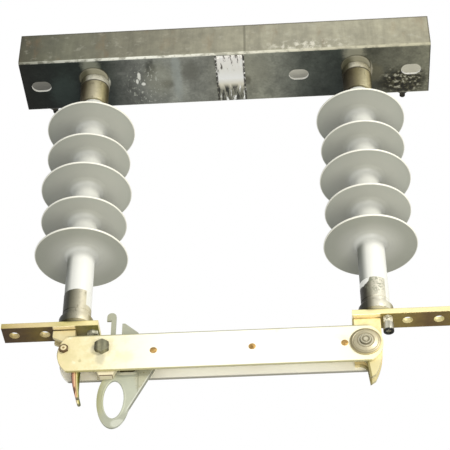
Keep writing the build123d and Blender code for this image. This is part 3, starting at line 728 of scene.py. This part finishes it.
# Strips of underside in front of the jaw shoulder and the hinge bracket are painted cream as painted light.
for left_end, right_end in ((jaw_low.x, jaw_low.x + shoulder_length), (hinge_low.x, hinge_high.x)):
    lit_strip = brass.y.rise(jaw_low.y + 0.0005, jaw_low.y - 0.0005)
    lit_strip = lit_strip * brass.x.rise(left_end - 0.001, left_end + 0.001)
    lit_strip = lit_strip * brass.x.rise(right_end + 0.001, right_end - 0.001)
    brown = brass.over(brown, (252, 236, 190), lit_strip * 0.95)
pads = brass.over(pads, brown, under)
upper_arris = brass.z.rise(pad_high.z - 0.0016, pad_high.z - 0.0006)
pads = brass.over(pads, (176, 168, 104), upper_arris * 0.5)
brass.lay(pads, rough=(tarnish, 0.32, 0.5), relief=brass.clouds(0.002, detail=6.0), depth=0.0001)
for side in ("left", "right"):
    coat(f"terminal_{side}", brass)


# Terminal screws: a hexagon head under the left pad, and under the right one a nut with the
# socket cap of the screw below it. All zinc plated.
x, y, _ = middle("terminal_screw_left")
across, tall = 0.013, 0.0055
head = [(hexagon(across, tall), (x, y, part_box("terminal_screw_left")[0].z + tall), "down")]
hang("left_pad_screw", zinc, "frame", "zinc_steel", head, "terminal_screw_left")
nut_low, nut_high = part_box("terminal_nut_right")
x, y, _ = middle("terminal_nut_right")
cap_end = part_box("terminal_screw_right")[0].z
cap_radius, cap_height, socket, socket_depth = 0.0066, nut_low.z - cap_end, 0.0034, 0.005
nut_across = 0.011
bright = Finish("bright_zinc", rough=0.28, metal=0.5, shine=0.6)
worked = bright.clouds(0.003, stretch=(1, 1, 0.5), detail=3.0).tones(
    (0.38, (96, 92, 70)), (0.46, (206, 200, 170)), (0.6, (246, 242, 222))
)
below_nut = bright.z.rise(nut_low.z + 0.0004, nut_low.z - 0.0004)
# Bands across the cap, dark at both sides with lighter bands between, are painted highlights and painted
# shade.
cap_light_and_shade = bright.x.rise(x - cap_radius, x + cap_radius, smooth=False).tones(
    (0.0, (96, 94, 80)), (0.3, (196, 193, 176)), (0.55, (150, 147, 130)), (0.8, (206, 203, 188)),
    (1.0, (120, 118, 100))
)
worked = bright.over(worked, cap_light_and_shade, below_nut)
# The cap's socket end is painted near black as painted shade.
worked = bright.over(worked, (38, 38, 34), bright.z.rise(cap_end + 0.0022, cap_end + 0.0012))
bright.lay(worked)
nut = [(hexagon(nut_across, nut_high.z - nut_low.z), (x, y, nut_high.z), "down")]
hang("right_pad_nut", bright, "frame", "zinc_steel", nut, "terminal_nut_right")
profile = [(0, 0), (cap_radius, 0), (cap_radius, cap_height), (socket, cap_height)]
profile += [(socket, cap_height - socket_depth), (0, cap_height - socket_depth)]
cap = [(turned(profile, eased=0.0006, steps=36), (x, y, nut_low.z), "down")]
hang("right_pad_cap_screw", bright, "frame", "zinc_steel", cap, "terminal_screw_right")


# Jaw contact and hinge bracket: channels bent from tinned copper strip, riveted up under the
# pads. The contact's horns take the arc, so their tin has burnt off to bare, browned copper.
strip = Finish("tinned_copper_strip", rough=0.4, metal=0.3, shine=0.5)
wear = strip.clouds(0.01, detail=5.0)
tin = wear.tones((0.35, (232, 212, 158)), (0.5, (244, 228, 176)), (0.65, (252, 242, 204)))
horn_top, horn_root, horn_tip, horn_width, sweep = jaw_low.z + 0.058, 0.0033, 0.0072, 0.0083, 0.0035
bent_from = jaw_low.z + 0.046
bend = strip.z.rise(bent_from, jaw_low.z, smooth=False) ** 2.0
left_edge = jaw_high.x - sweep - horn_width + bend * horn_tip
across_horn = (strip.x - left_edge) / (horn_width - bend * (horn_tip - horn_root))
copper = across_horn.tones(
    (0.0, (70, 42, 24)), (0.12, (96, 62, 42)), (0.2, (168, 122, 100)), (0.36, (186, 138, 110)),
    (0.46, (232, 190, 150)), (0.58, (222, 182, 128)), (0.68, (122, 88, 46)), (0.8, (236, 220, 156)),
    (0.92, (170, 164, 84)), (1.0, (110, 108, 46))
)
char_place = (jaw_high.x - 0.0062, 0, jaw_low.z + 0.011)
char = strip.patch(char_place, (0.0017, 1, 0.006), soft=0.5, ragged=0.3)
copper = strip.over(copper, (74, 50, 30), char * 0.85)
burnt = strip.z.rise(horn_top, horn_top - 0.006)
on_horn = burnt * strip.x.rise(jaw_high.x + 0.01, jaw_high.x + 0.005)
rear_horn = across_horn.tones(
    (0.0, (104, 84, 48)), (0.2, (170, 156, 104)), (0.42, (248, 240, 196)), (0.62, (238, 228, 160)),
    (0.76, (166, 164, 78)), (0.9, (96, 102, 40))
)
copper = strip.over(copper, rear_horn, strip.y > 0.0)
scorched = strip.z.rise(jaw_low.z + 0.0026, jaw_low.z + 0.0008)
copper = strip.over(copper, (104, 104, 78), scorched * 0.8)
tin = strip.over(tin, copper, on_horn)
throat, throat_x, throat_z, claw_slope = 0.009, hinge_low.x + 0.006, hinge_low.z + 0.018, 0.11
round_throat = strip.away_from((throat_x, 0, throat_z), (throat, 1e3, throat)) * throat
straight = strip.x - throat_x - (throat_z - strip.z) * claw_slope
from_edge = straight + (round_throat - straight) * (strip.z > throat_z)
on_bracket = strip.x.rise(hinge_low.x - 0.002, hinge_low.x - 0.001)
tin = strip.over(tin, (236, 216, 154), on_bracket * 0.5)
above_horn = strip.x.rise(0.001, -0.001) * (1.0 - burnt)
tin = strip.over(tin, (208, 194, 146), above_horn * 0.75)
claw_face = strip.z.rise(hinge_low.z + 0.034, hinge_low.z + 0.022) * on_bracket
tin = strip.over(tin, (206, 196, 148), claw_face * 0.85)
claw_line = from_edge.rise(throat + 0.0027, throat + 0.0018) * strip.x.rise(throat_x - 0.001, throat_x)
tin = strip.over(tin, (124, 114, 60), claw_line * claw_face * 0.85)
side_edge = strip.x.rise(hinge_low.x + 0.0022, hinge_low.x + 0.0014) * on_bracket
side_edge = side_edge * strip.z.rise(hinge_low.z + 0.07, hinge_low.z + 0.072)
tin = strip.over(tin, (112, 102, 50), side_edge * 0.85)
strip.lay(tin, rough=(wear, 0.32, 0.5), relief=strip.clouds(0.002, detail=6.0), depth=0.0001)
coat("static_contact", strip)
coat("hinge_bracket", strip)


# Blade: two bright tinned copper bars side by side. The jaw end has been handled and rubbed
# yellow, and a grey run has dried below the clamp bolt.
bars = Finish("blade_bars", rough=0.4, metal=0.06, shine=0.5)
bar_low, bar_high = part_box("blade_bar_front")
bloom = bars.clouds(0.02, stretch=(2, 1, 1), detail=5.0)
handled = bars.clouds(0.009, detail=6.0, shift=3.0)
along_bar = bars.x.rise(bar_low.x, bar_high.x, smooth=False)
bar = along_bar.tones(
    (0.0, (224, 208, 158)), (0.07, (234, 222, 176)), (0.14, (242, 233, 196)), (0.24, (249, 245, 220)),
    (0.4, (253, 252, 240)), (0.75, (253, 251, 238)), (0.92, (250, 244, 214)), (1.0, (242, 230, 184))
)
jaw_end = along_bar.rise(0.3, 0.06) * 0.6
bar = bars.over(bar, (222, 210, 156), handled.rise(0.46, 0.62) * jaw_end)
bar = bars.over(bar, (252, 244, 214), handled.rise(0.42, 0.32) * jaw_end)
bar = bars.over(bar, (232, 214, 158), bloom.rise(0.62, 0.76) * 0.35)
clamp_low, clamp_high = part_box("clamp_bolt")
clamp_x = middle("clamp_bolt").x
for where, reach, colour, amount in (
    ((clamp_x - 0.0015, 0, clamp_low.z - 0.005), (0.0055, 1, 0.01), (196, 190, 160), 0.75),
    ((-0.1745, 0, -0.495), (0.0017, 1, 0.0022), (170, 158, 110), 0.5),
    ((-0.187, 0, -0.49), (0.008, 1, 0.007), (214, 202, 150), 0.5),
    ((-0.164, 0, -0.488), (0.006, 1, 0.005), (220, 208, 158), 0.5),
    ((-0.121, 0, -0.492), (0.012, 1, 0.008), (236, 226, 180), 0.4),
):
    spot = bars.patch(where, reach, soft=0.9, ragged=0.4)
    bar = bars.over(bar, colour, spot * amount)
# The rear bar is painted near white as painted light, to lift it out of the front bar's shade.
rear_bar = bars.y > 0.0
bar = bars.over(bar, (255, 252, 238), rear_bar * 0.85)
block_low, block_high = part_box("clamp_blocks")
on_block = abs(bars.y).rise(-bar_high.y + 0.0004, -bar_high.y + 0.0002)
on_block = on_block * bars.x.rise(block_low.x - 0.0006, block_low.x - 0.0002)
on_block = on_block * bars.x.rise(block_high.x + 0.0006, block_high.x + 0.0002)
bar = bars.over(bar, (222, 212, 180), on_block * 0.8)
# A dark line along the foot of the clamp blocks is a painted shadow.
foot = on_block * bars.z.rise(block_low.z + 0.002, block_low.z + 0.0014)
foot = foot * bars.z.rise(block_low.z + 0.0001, block_low.z + 0.0003)
bar = bars.over(bar, (92, 72, 44), foot)
# Darker lines along the bars' lower and upper edges, and along the jaw-end tip, are painted shade on the
# rounded edges.
for height, reach, front, rear in (
    (bar_low.z, 0.0009, (176, 168, 108), (116, 112, 92)),
    (bar_high.z, -0.0026, (122, 120, 78), (122, 120, 78)),
):
    arris = bars.z.rise(height + reach, height + 0.4 * reach) * (1.0 - on_block)
    bar = bars.over(bar, bars.over(front, rear, rear_bar), arris * 0.8)
tip_arris = bars.x.rise(bar_low.x + 0.0016, bar_low.x + 0.0008)
bar = bars.over(bar, (150, 142, 96), tip_arris * 0.7)
bars.lay(bar, rough=(bloom, 0.3, 0.48), relief=bars.clouds(0.002, detail=6.0), depth=0.00008)
coat("blade_bar_front", bars)
coat("blade_bar_rear", bars)


# Blade rivets: copper rivets set through both bars over tubular spacers, and a short one in each
# bar beside the pivot. Their heads are shallow domes, mottled brown.
copper_rivet = Finish("copper_rivet", rough=0.4, metal=0.5, shine=0.5)
brown = copper_rivet.clouds(0.003, detail=4.0)
dome_tone = brown.tones((0.35, (128, 98, 46)), (0.65, (194, 156, 92)))
copper_rivet.lay(dome_tone, rough=(brown, 0.35, 0.55), relief=brown, depth=0.0001)
radius, stand = 0.0045, 0.0006
dome = [(0, stand), (0.4 * radius, 0.95 * stand), (0.8 * radius, 0.55 * stand), (radius, 0), (0, 0)]
for node, places in (("blade_rivets", (-0.086, 0.033)), ("heel_rivets", (0.144,))):
    level = middle(node).z
    rivets = []
    for x in places:
        for front, facing in ((bar_low.y, "front"), (-bar_low.y, "back")):
            rivets.append((turned(dome, steps=32), (x, front, level), facing))
        if node == "blade_rivets":
            rivets.append((rod(radius, -bar_high.y, bar_high.y, steps=24), (x, 0, level), "front"))
    name = node.replace("rivets", "rivet_heads")
    hang(name, copper_rivet, "blade", "copper_rivet", rivets, node)
coat("blade_spacers", copper_rivet)


# Pivot: a headed pin through the bracket, with a dished spring washer under its head and
# another under the nut at the back. The washers are pressed with rings and have dulled to grey.
disc = Finish("spring_washer", rough=0.4, metal=0.4, shine=0.5)
x, _, level = middle("pivot_bolt")
dish_radius = outline("pivot_washer_front")[1]
ringed = disc.away_from((x, 0, level), (dish_radius, 1e3, dish_radius)).tones(
    (0.0, (206, 200, 176)), (0.14, (190, 183, 156)), (0.19, (110, 102, 80)), (0.25, (168, 161, 136)),
    (0.31, (196, 190, 164)), (0.36, (112, 104, 82)), (0.43, (204, 197, 170)), (0.53, (146, 136, 108)),
    (0.6, (196, 187, 156)), (0.82, (184, 174, 142)), (0.93, (134, 123, 92)), (1.0, (188, 174, 128))
)
# The washers are painted darker to the left and lighter to the right as painted shade.
ringed = disc.scaled(ringed, disc.x.spread(0.66, 1.12, x - dish_radius, x + dish_radius))
dulled = disc.clouds(0.0035, detail=5.0)
ringed = disc.shaded(ringed, dulled, 0.93, 1.06)
disc.lay(ringed, rough=(dulled, 0.34, 0.5), relief=dulled, depth=0.00005)
bore, rings, sheet_thickness = 0.006, 0.0105, 0.0018
for which, facing in (("front", "front"), ("rear", "back")):
    low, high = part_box(f"pivot_washer_{which}")
    centre, crown = (low + high) / 2, high.y - low.y
    seat = high.y if which == "front" else low.y
    profile = [(bore, crown - sheet_thickness), (bore, crown), (rings - 0.0016, crown)]
    profile += [(rings - 0.0011, crown - 0.0004), (rings - 0.0004, crown - 0.0004)]
    profile += [(rings, crown - 0.0001), (0.0148, 0.0031), (0.0153, 0.0024), (0.0159, 0.0026)]
    profile += [(dish_radius, sheet_thickness), (dish_radius, 0), (dish_radius - sheet_thickness, 0)]
    profile += [(rings - 0.0009, crown - sheet_thickness), (bore, crown - sheet_thickness)]
    washer = [(turned(profile, steps=72), (centre.x, seat, centre.z), facing)]
    hang(f"dished_washer_{which}", disc, "blade", "zinc_steel", washer, f"pivot_washer_{which}")
head_radius, head_height, dent = 0.007, 0.0025, 0.0007
nut_across, nut_height, overlap = 0.019, 0.008, 0.0005
crown = -bar_low.y + 0.0045
past_nut = crown + nut_height - overlap
profile = [(0, head_height), (0.0028, head_height), (0.0034, head_height - dent)]
profile += [(0.0045, head_height - dent), (0.0051, head_height), (0.0062, head_height)]
profile += [(head_radius, head_height - 0.0009), (head_radius, 0), (0, 0)]
pin = [
    (turned(profile), (x, -crown, level), "front"),
    (rod(bore, -crown, crown, steps=32), (x, 0, level), "back"),
    (threaded(bore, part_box("pivot_bolt")[1].y - past_nut), (x, past_nut, level), "back"),
]
hang("pivot_pin", disc, "blade", "zinc_steel", pin, "pivot_bolt")
nut = [(hexagon(nut_across, nut_height), (x, crown, level), "back")]
hang("pivot_lock_nut", zinc, "blade", "zinc_steel", nut, "pivot_nut")


# Clamp bolt and tip bolt: hexagon bolts across the bars near the jaw. The clamp bolt carries the
# latch between two spacer blocks, and the tip bolt a short sleeve that meets the jaw contact.
x, _, level = middle("clamp_bolt")
side_y, head_height, across, shank = -bar_low.y, 0.0065, 0.017, 0.005
past_nut = side_y + head_height - overlap
clamp = [
    (hexagon(across, head_height), (x, -side_y, level), "front"),
    (rod(shank, -side_y, side_y, steps=32), (x, 0, level), "back"),
    (threaded(shank, clamp_high.y - past_nut), (x, past_nut, level), "back"),
]
greyed = Finish("greyed_bolt", rough=0.45, metal=0.35, shine=0.5)
# Across the head the colour runs dark at both sides and lighter in the middle: painted shading of its
# facets.
head_tone = greyed.x.rise(x - across / 2, x + across / 2, smooth=False).tones(
    (0.0, (52, 48, 32)), (0.16, (86, 82, 60)), (0.3, (146, 142, 114)), (0.55, (116, 114, 90)),
    (0.75, (134, 132, 106)), (1.0, (70, 67, 48))
)
dull = greyed.clouds(0.003, detail=5.0)
head_tone = greyed.shaded(head_tone, dull, 0.8, 1.15)
greyed.lay(head_tone, rough=(dull, 0.4, 0.55), relief=dull, depth=0.0001)
hang("clamp_hexagon_bolt", greyed, "blade", "zinc_steel", clamp, "clamp_bolt")
nut = [(hexagon(across, head_height), (x, side_y, level), "back")]
hang("clamp_hexagon_nut", zinc, "blade", "zinc_steel", nut, "clamp_nut")
x, _, level = middle("tip_bolt")
across, tall, shank = 0.0105, 0.0035, 0.0025
tip = [
    (hexagon(across, tall), (x, -side_y, level), "front"),
    (hexagon(across, tall), (x, side_y, level), "back"),
    (rod(shank, -side_y, side_y, steps=24), (x, 0, level), "back"),
]
passivated = Finish("yellow_passivated_bolt", rough=0.4, metal=0.3, shine=0.5)
# The head is painted with a bright ring inside a dark brown rim: a painted highlight and a painted shadow.
face_tone = passivated.away_from((x, 0, level), (across / 2, 1e3, across / 2)).tones(
    (0.0, (140, 112, 66)), (0.22, (150, 124, 78)), (0.4, (236, 222, 180)), (0.62, (226, 210, 162)),
    (0.78, (104, 80, 46)), (1.0, (84, 62, 34))
)
passivated.lay(face_tone)
hang("tip_hexagon_bolt", passivated, "blade", "zinc_steel", tip, "tip_bolt")
coat("tip_sleeve", passivated)
coat("clamp_blocks", bars)


# Latch lever: stamped from thick galvanised sheet, with a hook above, a guide fin, and a pull
# ring below whose hole has a rolled edge for the hook stick. Matt, with a faint greenish cast.
galvanised = Finish("galvanised_latch", rough=0.5, metal=0.3, shine=0.4)
spangle = galvanised.clouds(0.012, detail=4.0)
lever = galvanised.x.rise(-0.153, -0.085, smooth=False).tones(
    (0.0, (150, 150, 110)), (0.08, (170, 170, 136)), (0.16, (180, 182, 158)), (0.45, (182, 185, 165)),
    (1.0, (188, 190, 170))
)
lever = galvanised.shaded(lever, spangle, 0.96, 1.03)
# The hook's top and the pull ring's bottom are painted darker.
darker_hook_top = galvanised.z.rise(-0.456, -0.45) * 0.7
lever = galvanised.over(lever, (160, 160, 140), darker_hook_top)
darker_ring_bottom = galvanised.z.rise(-0.556, -0.572) * 0.6
lever = galvanised.over(lever, (158, 160, 144), darker_ring_bottom)
speckle = galvanised.clouds(0.0022, detail=5.0, shift=4.0)
for where, reach, colour, amount in (
    ((-0.0965, 0, -0.514), (0.0115, 1, 0.02), (184, 181, 154), 0.7),
    # a thin darker line marking the wing's bend is painted shade
    ((-0.1045, 0, -0.52), (0.0011, 1, 0.016), (140, 140, 118), 0.55),
    # a thin near-white strip along the plate's top edge is a painted highlight
    ((-0.118, 0, -0.5085), (0.011, 1, 0.002), (236, 232, 208), 0.8),
    ((-0.094, 0, -0.5015), (0.0078, 1, 0.0011), (252, 248, 228), 0.9),
    ((-0.126, 0, -0.579), (0.009, 1, 0.006), (206, 208, 192), 0.7),
    ((-0.086, 0, -0.513), (0.0022, 1, 0.0026), (92, 88, 60), 0.8),
):
    spot = galvanised.patch(where, reach, soft=0.5, ragged=0.2)
    lever = galvanised.over(lever, colour, spot * amount)
brown_end = galvanised.patch((-0.0965, 0, -0.514), (0.0125, 1, 0.021), soft=0.5)
lever = galvanised.over(lever, (150, 142, 108), brown_end * speckle.rise(0.56, 0.66))
# The neck between the bars is painted dark brown as a painted shadow.
neck = galvanised.patch((-0.118, 0, -0.5), (0.0097, 1, 0.012), soft=0.1)
lever = galvanised.over(lever, (70, 62, 36), neck * galvanised.z.rise(-0.5066, -0.5058))
# Along the plate's right edge a light line is painted just inside as a painted highlight, and a dark line
# at the edge as painted shade.
edge_x, edge_z, lean = -0.084, -0.501, math.radians(27.2)
to_edge = (galvanised.x - edge_x) * math.cos(lean) - (galvanised.z - edge_z) * math.sin(lean)
below_wing = galvanised.z.rise(edge_z + 0.002, edge_z) * galvanised.z.rise(-0.566, -0.556)
for start, end, colour, amount in (
    (-0.0026, -0.0021, (232, 234, 222), 0.5), (-0.0014, -0.0009, (116, 116, 100), 0.8)
):
    line = to_edge.rise(start, end) * below_wing
    lever = galvanised.over(lever, colour, line * amount)
galvanised.lay(lever, rough=(spangle, 0.45, 0.6), relief=speckle, depth=0.00008)
coat("latch_lever", galvanised)
hole_width, hole_height, lip_width, lip_overlap, lip_thickness = 0.0125, 0.027, 0.0029, 0.0026, 0.0035
lip = bmesh.new()
bmesh.ops.create_circle(lip, segments=72, radius=1.0, cap_ends=True)
bmesh.ops.scale(lip, vec=(hole_width + lip_overlap, hole_height + lip_overlap, 1), verts=lip.verts)
hole = lip.faces[:]
bmesh.ops.inset_individual(lip, faces=hole, thickness=lip_width, depth=0)
bmesh.ops.delete(lip, geom=hole, context="FACES")
raised = bmesh.ops.extrude_face_region(lip, geom=lip.faces[:])["geom"]
raised = [v for v in raised if isinstance(v, bmesh.types.BMVert)]
bmesh.ops.translate(lip, vec=(0, 0, lip_thickness), verts=raised)
sharp = [e for e in lip.edges if e.calc_face_angle(0) > 1.2]
bmesh.ops.bevel(lip, geom=sharp, offset=0.0009, affect="EDGES", segments=2, profile=0.5, material=-1)
hole_x, hole_z = -0.133, -0.5445
ring = [(lip, (hole_x, lip_thickness / 2, hole_z), "front")]
hang("pull_ring_lip", galvanised, "latch", "galvanised_latch", ring)

low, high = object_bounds()
